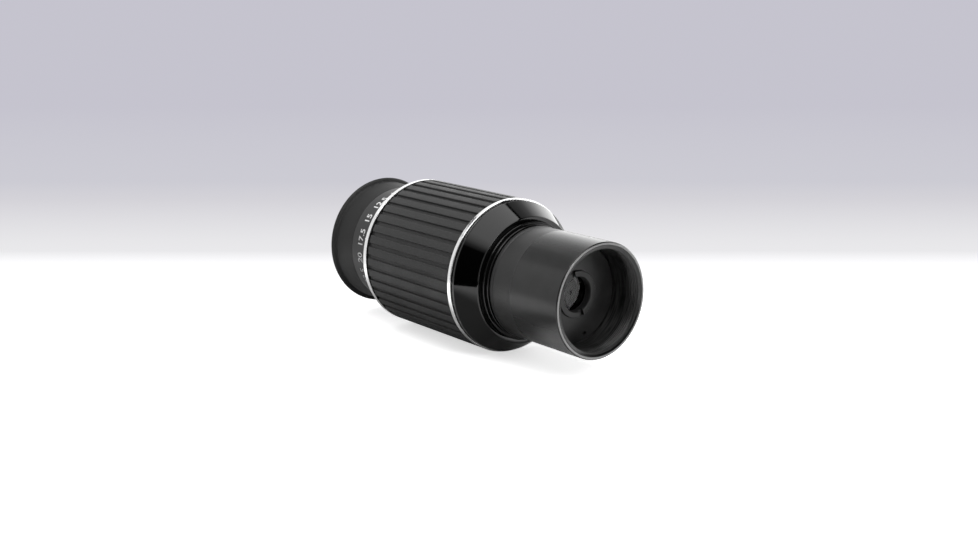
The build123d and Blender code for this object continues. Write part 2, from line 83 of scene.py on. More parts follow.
camera = bpy.data.objects.new("camera", bpy.data.cameras.new("camera"))
camera.data.lens = CAMERA_LENS
camera.data.sensor_width = 36.0
camera.location = CAMERA_AT
camera.rotation_mode = "QUATERNION"
camera.rotation_quaternion = CAMERA_FORWARD.to_track_quat("-Z", "Y")
camera.data.clip_start = 0.01
camera.data.clip_end = 100.0
bpy.context.scene.collection.objects.link(camera)
bpy.context.scene.camera = camera
bpy.context.scene.view_settings.view_transform = "Standard"


# ---- material tools ------------------------------------------------------------------------
def new_material(name):
    material = bpy.data.materials.new(name)
    material.use_nodes = True
    material.node_tree.nodes.clear()
    return material, material.node_tree.nodes, material.node_tree.links


def surface(name, color, roughness, metallic=0.0, ior=1.5):
    """Principled material, with its nodes and links for more detail."""
    material, made, links = new_material(name)
    out = made.new("ShaderNodeOutputMaterial")
    shader = made.new("ShaderNodeBsdfPrincipled")
    shader.inputs["Base Color"].default_value = (*color, 1.0)
    shader.inputs["Roughness"].default_value = roughness
    shader.inputs["Metallic"].default_value = metallic
    shader.inputs["IOR"].default_value = ior
    links.new(shader.outputs["BSDF"], out.inputs["Surface"])
    return material, shader, made, links


def object_position(made):
    return made.new("ShaderNodeTexCoord").outputs["Object"]


def noise(made, links, position, scale, detail=2.0):
    """Noise over the surface, scale in cycles per metre."""
    texture = made.new("ShaderNodeTexNoise")
    texture.inputs["Scale"].default_value = scale
    texture.inputs["Detail"].default_value = detail
    links.new(position, texture.inputs["Vector"])
    return texture.outputs["Fac"]


def turning_marks(made, links, position, lines_per_mm):
    """Noise that changes only along the axis, as the marks of a lathe tool do."""
    split = made.new("ShaderNodeSeparateXYZ")
    links.new(position, split.inputs["Vector"])
    texture = made.new("ShaderNodeTexNoise")
    texture.noise_dimensions = "1D"
    texture.inputs["Scale"].default_value = lines_per_mm / MM
    texture.inputs["Detail"].default_value = 3.0
    links.new(split.outputs["X"], texture.inputs["W"])
    return texture.outputs["Fac"]


def remap(made, links, value, low, high, start=0.3, end=0.7):
    """value from start to end, spread over low to high."""
    node = made.new("ShaderNodeMapRange")
    node.inputs["From Min"].default_value = start
    node.inputs["From Max"].default_value = end
    node.inputs["To Min"].default_value = low
    node.inputs["To Max"].default_value = high
    links.new(value, node.inputs["Value"])
    return node.outputs["Result"]


def rise(made, links, value, start, end):
    """0 up to start, 1 from end on."""
    return remap(made, links, value, 0.0, 1.0, start, end)


def fall(made, links, value, start, end):
    """1 up to start, 0 from end on."""
    return remap(made, links, value, 1.0, 0.0, start, end)


def bump(made, links, shader, height, distance_mm, after=None):
    """Small relief, on top of the relief given as after."""
    node = made.new("ShaderNodeBump")
    node.inputs["Strength"].default_value = 1.0
    node.inputs["Distance"].default_value = distance_mm * MM
    links.new(height, node.inputs["Height"])
    if after is not None:
        links.new(after, node.inputs["Normal"])
    links.new(node.outputs["Normal"], shader.inputs["Normal"])
    return node.outputs["Normal"]


def mottle(made, links, shader, value, dark, light):
    """Colour that drifts between two tones."""
    ramp = made.new("ShaderNodeMix")
    ramp.data_type = "RGBA"
    ramp.inputs["A"].default_value = (*dark, 1.0)
    ramp.inputs["B"].default_value = (*light, 1.0)
    links.new(value, ramp.inputs["Factor"])
    links.new(ramp.outputs["Result"], shader.inputs["Base Color"])


def radius_of(made, links, position):
    """Distance from the optical axis, in metres."""
    flat = made.new("ShaderNodeVectorMath")
    flat.operation = "MULTIPLY"
    links.new(position, flat.inputs[0])
    flat.inputs[1].default_value = (0.0, 1.0, 1.0)
    length = made.new("ShaderNodeVectorMath")
    length.operation = "LENGTH"
    links.new(flat.outputs["Vector"], length.inputs[0])
    return length.outputs["Value"]


def radius_mask(made, links, position, low_mm, high_mm):
    """0 inside the low radius about the optical axis, 1 outside the high one."""
    return rise(made, links, radius_of(made, links, position), low_mm * MM, high_mm * MM)


def axial_mask(made, links, position, low_mm, high_mm):
    """0 behind the low station on the optical axis, 1 in front of the high one."""
    split = made.new("ShaderNodeSeparateXYZ")
    links.new(position, split.inputs["Vector"])
    return rise(made, links, split.outputs["X"], low_mm * MM, high_mm * MM)


def streaks(made, links, position, lines_per_mm, patches_per_m=160.0):
    """Tool marks that run round the axis and come and go on the way."""
    stretch = made.new("ShaderNodeVectorMath")
    stretch.operation = "MULTIPLY"
    links.new(position, stretch.inputs[0])
    stretch.inputs[1].default_value = (lines_per_mm / MM, patches_per_m, patches_per_m)
    return noise(made, links, stretch.outputs["Vector"], scale=1.0, detail=5.0)


def multiply(made, links, first, second):
    node = made.new("ShaderNodeMath")
    node.operation = "MULTIPLY"
    links.new(first, node.inputs[0])
    links.new(second, node.inputs[1])
    return node.outputs["Value"]


def blend(made, links, mask, low, high, data_type):
    """low where the mask is 0, high where it is 1; each is a number or a socket."""
    node = made.new("ShaderNodeMix")
    node.data_type = data_type
    for socket, value in (("A", low), ("B", high)):
        if not isinstance(value, float):
            links.new(value, node.inputs[socket])
        elif data_type == "RGBA":
            node.inputs[socket].default_value = (value, value, value, 1.0)
        else:
            node.inputs[socket].default_value = value
    links.new(mask, node.inputs["Factor"])
    return node.outputs["Result"]


def blend_values(made, links, mask, low, high):
    return blend(made, links, mask, low, high, "FLOAT")


def blend_colors(made, links, mask, low, high):
    return blend(made, links, mask, low, high, "RGBA")


def tone_ramp(made, links, place, stops):
    """Colour that follows (distance, colour) stops; place is 0 at the first, 1 at the last."""
    first, last = stops[0][0], stops[-1][0]
    ramp = made.new("ShaderNodeValToRGB")
    elements = ramp.color_ramp.elements
    while len(elements) < len(stops):
        elements.new(0.5)
    for element, (distance, color) in zip(elements, stops):
        element.position = (distance - first) / (last - first)
    for element, (distance, color) in zip(elements, stops):
        element.color = (*color, 1.0)
    links.new(place, ramp.inputs["Fac"])
    return ramp.outputs["Color"]


# ---- materials ---------------------------------------------------------------------------------
def turned_black(name, tone, roughness, spread, mark_depth_mm, lines_per_mm=6.0):
    """Black anodised aluminium with fine lathe marks and a slightly uneven sheen."""
    material, shader, made, links = surface(name, (tone, tone, tone * 1.04), roughness)
    position = object_position(made)
    marks = turning_marks(made, links, position, lines_per_mm)
    patches = noise(made, links, position, scale=180.0, detail=4.0)
    gloss = remap(made, links, patches, roughness - spread, roughness + spread)
    links.new(gloss, shader.inputs["Roughness"])
    mottle(made, links, shader, patches, (tone * 0.85,) * 3, (tone * 1.15,) * 3)
    first = bump(made, links, shader, marks, mark_depth_mm)
    grain = noise(made, links, position, scale=9000.0)
    bump(made, links, shader, grain, 0.0006, after=first)
    return material


def bright_turned(name):
    """Bright cut aluminium ring."""
    material, shader, made, links = surface(name, (0.97, 0.97, 0.97), 0.12, metallic=1.0)
    position = object_position(made)
    marks = turning_marks(made, links, position, lines_per_mm=9.0)
    patches = noise(made, links, position, scale=260.0, detail=3.0)
    links.new(remap(made, links, patches, 0.10, 0.18), shader.inputs["Roughness"])
    bump(made, links, shader, marks, 0.0015)
    return material


def rubber(name, tone, roughness, grain_mm, grain_scale, wear, spread=0.06):
    """Moulded rubber: fine grain, dusty patches."""
    material, shader, made, links = surface(name, (tone,) * 3, roughness, ior=1.45)
    position = object_position(made)
    dust = noise(made, links, position, scale=90.0, detail=6.0)
    dusty = remap(made, links, dust, 0.0, 1.0)
    mottle(made, links, shader, dusty, (tone,) * 3, (tone + wear,) * 3)
    gloss = remap(made, links, dust, roughness - spread, roughness + spread)
    links.new(gloss, shader.inputs["Roughness"])
    grain = noise(made, links, position, grain_scale, detail=3.0)
    bump(made, links, shader, grain, grain_mm)
    return material


def lens_glass(tint):
    """Optical glass with a little dust on it."""
    material, shader, made, links = surface("optical_glass", (0.97, 0.97, 0.97), 0.0, ior=1.46)
    shader.inputs["Transmission Weight"].default_value = 1.0
    shader.inputs["Specular Tint"].default_value = (*tint, 1.0)
    position = object_position(made)
    dust = noise(made, links, position, scale=700.0, detail=5.0)
    links.new(remap(made, links, dust, 0.0, 0.03, start=0.6, end=0.8), shader.inputs["Roughness"])
    return material


def plain(name, color, roughness, metallic=0.0):
    """One colour, with a slightly uneven sheen."""
    material, shader, made, links = surface(name, color, roughness, metallic)
    position = object_position(made)
    patches = noise(made, links, position, scale=400.0, detail=4.0)
    gloss = remap(made, links, patches, roughness * 0.85, roughness * 1.15)
    links.new(gloss, shader.inputs["Roughness"])
    return material


def barrel_material():
    """Satin black tube: a duller undercut, a rubbed rim, streaky cut walls inside and painted shade
    darkening the mouth's outer chamfer.
    """
    gloss_black_and_chamfer_shade = 0.004        # of the flange's gloss black finish, and painted shade on the mouth's outer chamfer
    material, shader, made, links = surface("barrel_black", (0.03,) * 3, 0.25, ior=1.43)
    position = object_position(made)
    outside = radius_mask(made, links, position, 14.35, 14.45)
    front = axial_mask(made, links, position, UNDERCUT_FRONT - 0.15, UNDERCUT_FRONT + 0.05)
    tube = axial_mask(made, links, position, -0.05, 0.0)
    chamfer = axial_mask(made, links, position, BARREL_FRONT - 0.35, BARREL_FRONT - 0.25)
    rim = multiply(
        made,
        links,
        axial_mask(made, links, position, BARREL_FRONT - 0.06, BARREL_FRONT - 0.03),
        radius_mask(made, links, position, RIM_IN_R + 0.1, RIM_IN_R + 0.25),
    )
    patches = noise(made, links, position, scale=180.0, detail=4.0)
    marks = streaks(made, links, position, lines_per_mm=2.6)
    cut = remap(made, links, marks, 0.001, 0.045, start=0.42, end=0.66)
    body = blend_colors(made, links, remap(made, links, patches, 0.0, 1.0), 0.026, 0.032)
    body = blend_colors(made, links, tube, gloss_black_and_chamfer_shade, body)
    # painted shade: the mouth's outer chamfer is darkened to a black line
    body = blend_colors(made, links, chamfer, body, gloss_black_and_chamfer_shade)
    color = blend_colors(made, links, outside, cut, body)
    links.new(blend_colors(made, links, rim, color, 0.25), shader.inputs["Base Color"])
    gloss = blend_values(made, links, front, 0.4, 0.25)
    gloss = blend_values(made, links, tube, 0.12, gloss)
    gloss = blend_values(made, links, outside, 0.38, gloss)
    links.new(blend_values(made, links, rim, gloss, 0.3), shader.inputs["Roughness"])
    links.new(blend_values(made, links, rim, 0.0, 0.6), shader.inputs["Metallic"])
    fine = turning_marks(made, links, position, lines_per_mm=6.0)
    first = bump(made, links, shader, fine, distance_mm=0.0014)
    bump(made, links, shader, marks, distance_mm=0.002, after=first)
    return material


def disc_material():
    """Flat black lens cell with faint turned rings, dull black inside its hole."""
    material, shader, made, links = surface("disc_black", (0.03,) * 3, 0.4)
    position = object_position(made)
    rings = made.new("ShaderNodeTexNoise")
    rings.noise_dimensions = "1D"
    rings.inputs["Scale"].default_value = 5.0 / MM
    links.new(radius_of(made, links, position), rings.inputs["W"])
    patches = noise(made, links, position, scale=250.0, detail=4.0)
    tone = blend_colors(made, links, remap(made, links, patches, 0.0, 1.0), 0.009, 0.014)
    flat = radius_mask(made, links, position, 4.85, 5.0)
    links.new(blend_colors(made, links, flat, 0.001, tone), shader.inputs["Base Color"])
    gloss = remap(made, links, patches, 0.36, 0.46)
    links.new(blend_values(made, links, flat, 0.9, gloss), shader.inputs["Roughness"])
    bump(made, links, shader, rings.outputs["Fac"], distance_mm=0.0018)
    return material


def grip_material():
    """Ribbed rubber with a dusty grain on the ribs; painted shade makes its channels a little darker,
    and a painted shadow blackens them by the rear ring.
    """
    material, shader, made, links = surface("grip_rubber", (0.036,) * 3, 0.5, ior=1.4)
    position = object_position(made)
    dust = noise(made, links, position, scale=120.0, detail=6.0)
    speck = noise(made, links, position, scale=2200.0, detail=3.0)
    tone = blend_colors(made, links, remap(made, links, dust, 0.0, 1.0), 0.025, 0.032)
    dotted = remap(made, links, speck, 0.0, 0.35, start=0.45, end=0.75)
    tone = blend_colors(made, links, dotted, tone, 0.07)
    raised = radius_mask(made, links, position, CHANNEL_FLOOR, CHANNEL_FLOOR + 0.3)
    # painted shade and shadow: channel floors a little darker than the ribs, and black by the rear
    # ring
    clear_of_end_shadow = axial_mask(made, links, position, RIB_BACK + 0.6, RIB_BACK + 1.1)
    channel_shade_tone = blend_colors(made, links, clear_of_end_shadow, 0.001, 0.028)
    links.new(blend_colors(made, links, raised, channel_shade_tone, tone), shader.inputs["Base Color"])
    links.new(remap(made, links, dust, 0.44, 0.56), shader.inputs["Roughness"])
    grain = noise(made, links, position, scale=4200.0, detail=3.0)
    bump(made, links, shader, grain, distance_mm=0.012)
    return material


barrel_black = barrel_material()
cone_black = turned_black(
    "cone_black", tone=0.0012, roughness=0.07, spread=0.012, mark_depth_mm=0.0003
)
collar_black = turned_black(
    "collar_black", tone=0.018, roughness=0.36, spread=0.04, mark_depth_mm=0.0015
)
inner_black = turned_black(
    "inner_black", tone=0.016, roughness=0.42, spread=0.05, mark_depth_mm=0.004, lines_per_mm=3.5
)
disc_black = disc_material()
bright_ring = bright_turned("bright_ring")
grip_rubber = grip_material()
cup_rubber = rubber(
    "cup_rubber", tone=0.005, roughness=0.58, grain_mm=0.012, grain_scale=6500.0, wear=0.010
)
glass = lens_glass(tint=(0.9, 0.9, 0.9))
brass = plain("brass", color=(0.72, 0.53, 0.25), roughness=0.3, metallic=1.0)
steel = plain("steel", color=(0.6, 0.6, 0.6), roughness=0.25, metallic=1.0)
washer_white = plain("washer_white", color=(0.8, 0.8, 0.78), roughness=0.5)
figure_white = plain("figure_white", color=(0.92, 0.92, 0.92), roughness=0.45)
mark_black = plain("mark_black", color=(0.01, 0.01, 0.01), roughness=0.4)


# ---- mesh tools ------------------------------------------------------------------------------
def rounded(corners, steps=4):
    """Outline with each (x, r, fillet) corner rounded by its fillet radius."""
    outline = []
    count = len(corners)
    for i, corner in enumerate(corners):
        here = Vector(corner[:2])
        before = Vector(corners[i - 1][:2]) - here
        after = Vector(corners[(i + 1) % count][:2]) - here
        fillet = corner[2] if len(corner) > 2 else 0.0
        turn = before.angle(after)
        if fillet <= 0.0 or turn > math.pi - 0.02:
            outline.append(here)
            continue
        reach = min(fillet / math.tan(turn / 2), before.length * 0.49, after.length * 0.49)
        fillet = reach * math.tan(turn / 2)
        start = here + before.normalized() * reach
        end = here + after.normalized() * reach
        inward = (before.normalized() + after.normalized()).normalized()
        middle = here + inward * (fillet / math.sin(turn / 2))
        first = math.atan2(*(start - middle).yx)
        sweep = (math.atan2(*(end - middle).yx) - first + math.pi) % (2 * math.pi) - math.pi
        for k in range(steps + 1):
            angle = first + sweep * k / steps
            outline.append(middle + fillet * Vector((math.cos(angle), math.sin(angle))))
    return outline


def mesh_object(name, vertices, faces, material, body, cad_nodes=()):
    mesh = bpy.data.meshes.new(name)
    mesh.from_pydata(vertices, [], faces)
    mesh.validate()
    mesh.update()
    mesh.polygons.foreach_set("use_smooth", [True] * len(mesh.polygons))
    piece = bpy.data.objects.new(name, mesh)
    bpy.context.scene.collection.objects.link(piece)
    mesh.materials.append(material)
    weighted = piece.modifiers.new("weighted_normals", "WEIGHTED_NORMAL")
    weighted.weight = 90
    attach(piece, body)
    if cad_nodes:
        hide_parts(*cad_nodes)
    return piece


def on_axis(x, radius, angle):
    """Point in metres; angle is from +Y towards +Z."""
    return (x * MM, radius * math.cos(angle) * MM, radius * math.sin(angle) * MM)


def turned(name, outline, material, body, cad_nodes=(), warp=None):
    """Closed outline revolved about the axis. warp(x, r, angle) may change a radius."""
    vertices = []
    for j in range(SEGMENTS):
        angle = 2 * math.pi * j / SEGMENTS
        for x, radius in outline:
            vertices.append(on_axis(x, warp(x, radius, angle) if warp else radius, angle))
    count = len(outline)
    faces = []
    for j in range(SEGMENTS):
        here = j * count
        there = ((j + 1) % SEGMENTS) * count
        for i in range(count):
            k = (i + 1) % count
            faces.append((here + i, here + k, there + k, there + i))
    return mesh_object(name, vertices, faces, material, body, cad_nodes)


# ---- nose barrel -----------------------------------------------------------------------------
THREAD_FRONT, THREAD_BACK = 26.75, 21.3
THREAD_PITCH = 0.6
THREAD_CREST, THREAD_ROOT = 13.95, 14.25
THREAD_ROWS = 110
GROOVE_SHARE = 0.8              # of the pitch
FADE_FRONT, FADE_BACK = 0.25, 5.2
BORE_TAPER = 0.0133             # how fast the bore narrows behind the thread's mouth


def filter_thread(x, radius, angle):
    """Helical thread cut into the mouth of the barrel, fading out at both ends."""
    if radius > 14.0 or not THREAD_BACK <= x <= THREAD_FRONT:
        return radius
    phase = (x / THREAD_PITCH + angle / (2 * math.pi)) % 1.0
    depth = max(0.0, 1.0 - abs(phase - 0.5) * 2.0 / GROOVE_SHARE)
    fade = min(1.0, (THREAD_FRONT - x) / FADE_FRONT, (x - THREAD_BACK) / FADE_BACK)
    return radius + (THREAD_ROOT - THREAD_CREST) * depth * fade


def barrel_outline():
    corners = [
        (-5.0, BORE_R),
        (-5.0, 14.87),
        (SHOULDER_X, 14.87),
        (SHOULDER_X, FLANGE_R, 0.08),
        (-1.6, FLANGE_R, 0.22),
        (-1.6, GROOVE_R, 0.1),
        (-1.1, GROOVE_R, 0.1),
        (-1.1, BEAD_R, 0.1),
        (-0.5, BEAD_R, 0.22),
        (-0.5, GROOVE_R, 0.1),
        (0.0, GROOVE_R, 0.1),
        (0.0, BARREL_R, 0.25),
        (1.0, BARREL_R, 0.2),
        (1.3, BARREL_R - 0.15, 0.3),
        (UNDERCUT_FRONT, BARREL_R, 0.4),
        (BARREL_FRONT - CHAMFER, BARREL_R, 0.1),
        (BARREL_FRONT, BARREL_R - CHAMFER, 0.1),
        (BARREL_FRONT, RIM_IN_R, 0.1),
        (26.78, 13.97, 0.05),
    ]
    outline = rounded(corners)
    for row in range(THREAD_ROWS + 1):
        x = THREAD_FRONT + (THREAD_BACK - THREAD_FRONT) * row / THREAD_ROWS
        outline.append(Vector((x, THREAD_CREST - BORE_TAPER * (THREAD_FRONT - x))))
    outline.append(Vector((8.0, BORE_R)))
    return outline


turned(
    "barrel",
    barrel_outline(),
    barrel_black,
    "housing",
    ["nose_barrel"],
    filter_thread,
)

# ---- shoulder cone -----------------------------------------------------------------------------
turned(
    "shoulder_cone",
    rounded(
        [
            (SHOULDER_X, 14.9),
            (SHOULDER_X, 17.95, 0.12),
            (-2.55, 18.2, 0.18),
            (-8.4, 21.7, 0.35),
            (-9.05, 21.7, 0.1),
            (-9.3, 21.45, 0.06),
            (-9.3, TUBE_R),
            (-5.0, TUBE_R),
            (-5.0, 14.9),
        ]
    ),
    cone_black,
    "housing",
    ["shoulder_housing"],
)

# ---- bright rings ------------------------------------------------------------------------------
turned(
    "front_ring",
    rounded(
        [
            (-9.5, 20.2, 0.05),
            (-9.5, 22.06, 0.05),
            (-9.62, RING_R, 0.05),
            (-10.7, RING_R, 0.06),
            (-10.7, GRIP_BORE),
            (-9.85, GRIP_BORE),
            (-9.85, 20.2),
        ]
    ),
    bright_ring,
    "zoom_ring",
    ["front_trim_ring"],
)
turned(
    "rear_ring",
    rounded(
        [
            (-51.2, GRIP_BORE),
            (-51.2, RING_R, 0.06),
            (-52.58, RING_R, 0.05),
            (-52.7, 22.06, 0.05),
            (-52.7, 18.3, 0.08),
            (-52.1, 18.3),
            (-52.1, GRIP_BORE),
        ]
    ),
    bright_ring,
    "zoom_ring",
    ["rear_trim_ring"],
)

# ---- rubber grip -------------------------------------------------------------------------------
RIBS = 40
RIB_TOP = 22.15
RIB_HALF_WIDTH = 1.125
RIB_CORNER, RIB_FOOT = 0.22, 0.15
GRIP_FRONT, GRIP_BACK = -10.7, -51.2
RIB_STATIONS = 30


def rib_section():
    """Half of one rib as (distance round the grip from its middle, share of its height)."""
    height = RIB_TOP - CHANNEL_FLOOR
    half = [(0.0, 1.0), (0.45, 1.0), (RIB_HALF_WIDTH - RIB_CORNER, 1.0)]
    for k in range(1, 5):
        angle = math.pi / 2 * (1 - k / 4)
        reach = RIB_HALF_WIDTH - RIB_CORNER + RIB_CORNER * math.cos(angle)
        half.append((reach, 1 - RIB_CORNER / height * (1 - math.sin(angle))))
    for k in range(0, 4):
        angle = math.pi + math.pi / 2 * k / 3
        reach = RIB_HALF_WIDTH + 0.03 + RIB_FOOT + RIB_FOOT * math.cos(angle)
        half.append((reach, RIB_FOOT / height * (1 + math.sin(angle))))
    return half


def grip_angles():
    """(angle, share of rib height) all the way round."""
    pitch = 2 * math.pi / RIBS
    half = rib_section()
    around = []
    for rib in range(RIBS):
        middle = math.pi / 2 + pitch * rib
        around += [(middle - s / RIB_TOP, share) for s, share in reversed(half[1:])]
        around += [(middle + s / RIB_TOP, share) for s, share in half]
        around.append((middle + pitch / 2, 0.0))
    return around


def grip_stations():
    """(x, share of rib height) from the front to the back of the grip."""
    stations = [(GRIP_FRONT, 0.92), (GRIP_FRONT - 0.06, 1.0)]
    straight = RIB_BACK + 0.2 - GRIP_FRONT
    for k in range(1, RIB_STATIONS):
        stations.append((GRIP_FRONT + straight * k / RIB_STATIONS, 1.0))
    for k in range(5):
        angle = math.pi / 2 * k / 4
        x = RIB_BACK + 0.15 - 0.15 * math.sin(angle)
        stations.append((x, 1 - 0.2 * (1 - math.cos(angle))))
    stations += [(RIB_BACK - 0.01, 0.06), (RIB_BACK - 0.06, 0.0), (GRIP_BACK, 0.0)]
    return stations


def make_grip():
    around = grip_angles()
    stations = grip_stations()
    height = RIB_TOP - CHANNEL_FLOOR
    rows = []
    for x, end in stations:
        rows.append([(x, CHANNEL_FLOOR + height * share * end, a) for a, share in around])
    rows.append([(GRIP_BACK, GRIP_BORE, a) for a, share in around])
    rows.append([(GRIP_FRONT, GRIP_BORE, a) for a, share in around])
    vertices = [on_axis(*point) for row in rows for point in row]
    count = len(around)
    faces = []
    for r in range(len(rows)):
        here = r * count
        there = ((r + 1) % len(rows)) * count
        for i in range(count):
            k = (i + 1) % count
            faces.append((here + i, here + k, there + k, there + i))
    return mesh_object(
        "grip", vertices, faces, grip_rubber, "zoom_ring", ["rubber_grip"]
    )


make_grip()

# ---- eye collar ----------------------------------------------------------------------------------
turned(
    "collar",
    rounded(
        [
            (-52.0, TUBE_R),
            (-52.0, COLLAR_R, 0.1),
            (-65.4, COLLAR_R, 0.12),
            (-65.4, 16.6),
            (-68.0, 16.6),
            (-68.4, 17.1),
            (-69.0, 17.1),
            (-69.0, 15.18),
            (-57.0, 15.18),
            (-57.0, TUBE_R),
        ]
    ),
    collar_black,
    "housing",
    ["eye_collar", "collar_screws"],
)

# ---- eyecup ---------------------------------------------------------------------------------------
turned(
    "rubber_eyecup",
    rounded(
        [
            (-65.42, 16.65),
            (-65.42, 17.98, 0.25),
            (-69.5, 18.42, 6.0),
            (-72.6, 18.85, 0.2),
            (-72.95, 18.5, 0.1),
            (-73.3, 18.9, 0.1),
            (-73.55, 19.6, 0.2),
            (-74.0, 20.05, 0.15),
            (-74.5, 19.9, 0.25),
            (-74.5, 19.1, 0.35),
            (-73.4, 18.0, 1.0),
            (-71.0, 17.1, 1.0),
            (-69.6, 16.2, 0.2),
            (-69.1, 16.2, 0.2),
            (-69.1, 17.13),
            (-68.3, 17.13),
            (-67.9, 16.65),
        ],
        6,
    ),
    cup_rubber,
    "housing",
    ["eyecup"],
)

# ---- scale figures on the collar and index mark on the zoom ring -------------------------------
FIGURES = ["7.5", "10", "12.5", "15", "17.5", "20", "22.5"]
FIGURE_STEP = 20.0              # degrees of zoom turn between two marks
INDEX_FROM_UP = 6.0             # degrees from +Z towards +Y
FIGURE_HEIGHT = 2.3
FIGURE_X = -61.0                # middle of the figures along the axis
TICK_BACK, TICK_FRONT = FIGURE_X + FIGURE_HEIGHT / 2 + 1.0, -53.2
TICK_HALF_WIDTH = 0.12
INDEX_BACK, INDEX_FRONT = -52.5, -51.35
FIGURE_INK, INDEX_INK = 0.02, 0.005     # how far the paint stands above its surface


def from_up(x, radius, angle):
    """Point in metres; angle is from +Z towards +Y."""
    return (x * MM, radius * math.sin(angle) * MM, radius * math.cos(angle) * MM)


def figure_outline(text):
    """Flat mesh of a text, centred on its width, one unit high."""
    curve = bpy.data.curves.new("figure", "FONT")
    curve.body = text
    curve.align_x = "CENTER"
    curve.resolution_u = 6
    curve.offset = 0.012
    curve.size = 1.0
    maker = bpy.data.objects.new("figure", curve)
    bpy.context.scene.collection.objects.link(maker)
    graph = bpy.context.evaluated_depsgraph_get()
    mesh = bpy.data.meshes.new_from_object(maker.evaluated_get(graph))
    points = [tuple(v.co[:2]) for v in mesh.vertices]
    faces = [tuple(p.vertices) for p in mesh.polygons]
    bpy.data.objects.remove(maker)
    bpy.data.meshes.remove(mesh)
    return points, faces


def make_figures():
    """Focal lengths in millimetres, each with a short line towards the zoom ring."""
    vertices = []
    faces = []
    radius = COLLAR_R + FIGURE_INK
    for k, text in enumerate(FIGURES):
        middle = math.radians(INDEX_FROM_UP - FIGURE_STEP * k)
        points, shapes = figure_outline(text)
        top = max(p[1] for p in points)
        size = FIGURE_HEIGHT / top
        start = len(vertices)
        for u, v in points:
            angle = middle + u * size / radius
            x = FIGURE_X + FIGURE_HEIGHT / 2 - v * size
            vertices.append(from_up(x, radius, angle))
        faces += [tuple(start + i for i in shape) for shape in shapes]
        start = len(vertices)
        for x in (TICK_BACK, TICK_FRONT):
            for side in (-TICK_HALF_WIDTH, TICK_HALF_WIDTH):
                vertices.append(from_up(x, radius, middle + side / radius))
        faces.append((start, start + 1, start + 3, start + 2))
    return mesh_object("scale_figures", vertices, faces, figure_white, "housing")


make_figures()


def make_index():
    """Painted line on the rear bright ring that points at the figure in use."""
    radius = RING_R + INDEX_INK
    middle = math.radians(INDEX_FROM_UP)
    vertices = []
    for x in (INDEX_FRONT, INDEX_BACK):
        for side in (-0.25, -0.08, 0.08, 0.25):
            vertices.append(from_up(x, radius, middle + side / radius))
    faces = [(i, i + 1, i + 5, i + 4) for i in range(3)]
    return mesh_object("index_mark", vertices, faces, mark_black, "zoom_ring")


make_index()


# ---- the other CAD pieces keep their shape --------------------------------------------------------
FINISHES = {
    "satin_black_aluminium": barrel_black,
    "gloss_black_aluminium": cone_black,
    "inner_aluminium": inner_black,
    "brass": brass,
    "bright_aluminium": bright_ring,
    "steel": steel,
    "washer_plastic": washer_white,
    "grip_rubber": grip_rubber,
    "collar_black": collar_black,
    "eyecup_rubber": cup_rubber,
    "optical_glass": glass,
}
for entry in frame["record"]["subparts"]:
    for place in nodes[entry["node"]].material_slots:
        place.material = FINISHES[entry["material_slot"]]
for name in ("field_cell", "field_retaining_ring"):
    for place in nodes[name].material_slots:
        place.material = disc_black


# ---- floor, lights ----------------------------------------------------------------------------------
def stage_plane(name, middle, across, up, material):
    """Flat rectangle with half sides across and up."""
    middle, across, up = Vector(middle), Vector(across), Vector(up)
    low, high = middle - up, middle + up
    corners = [low - across, low + across, high + across, high - across]
    mesh = bpy.data.meshes.new(name)
    mesh.from_pydata([tuple(c) for c in corners], [], [(0, 1, 2, 3)])
    mesh.materials.append(material)
    panel = bpy.data.objects.new(name, mesh)
    bpy.context.scene.collection.objects.link(panel)
    return panel


def along(made, links, direction):
    """How far a point of the stage lies in a direction, in metres."""
    node = made.new("ShaderNodeVectorMath")
    node.operation = "DOT_PRODUCT"
    links.new(object_position(made), node.inputs[0])
    node.inputs[1].default_value = direction
    return node.outputs["Value"]


def softbox(name, middle, across, up, stops, direction=(0, 0, 1)):
    """Panel of light whose strength follows (distance along a direction, strength) stops."""
    material, made, links = new_material(name)
    out = made.new("ShaderNodeOutputMaterial")
    emission = made.new("ShaderNodeEmission")
    first, last = stops[0][0], stops[-1][0]
    brightest = max(strength for distance, strength in stops)
    place = rise(made, links, along(made, links, direction), first, last)
    shades = [(distance, (strength / brightest,) * 3) for distance, strength in stops]
    links.new(tone_ramp(made, links, place, shades), emission.inputs["Color"])
    emission.inputs["Strength"].default_value = brightest
    links.new(emission.outputs["Emission"], out.inputs["Surface"])
    panel = stage_plane(name, middle, across, up, material)
    panel.visible_camera = False
    panel.visible_transmission = False
    panel.visible_shadow = False
    return panel


AWAY = (-0.78, 0.626, 0.0)      # level direction from the camera to the object
PAPER = [                       # (metres away from the origin, colour): painted shade falling off to grey behind the object
    (0.03, (1.0, 1.0, 1.0)),
    (0.08, (0.88, 0.88, 0.89)),
    (0.16, (0.80, 0.795, 0.815)),
    (0.255, (0.66, 0.65, 0.69)),
    (0.31, (0.605, 0.60, 0.655)),
    (0.7, (0.56, 0.55, 0.62)),
]
PAPER_GLOW = 0.6                # share of the paper's white that no shadow darkens
PAPER_GAIN = 3.2                # the rest is exposed until only real shadow shows


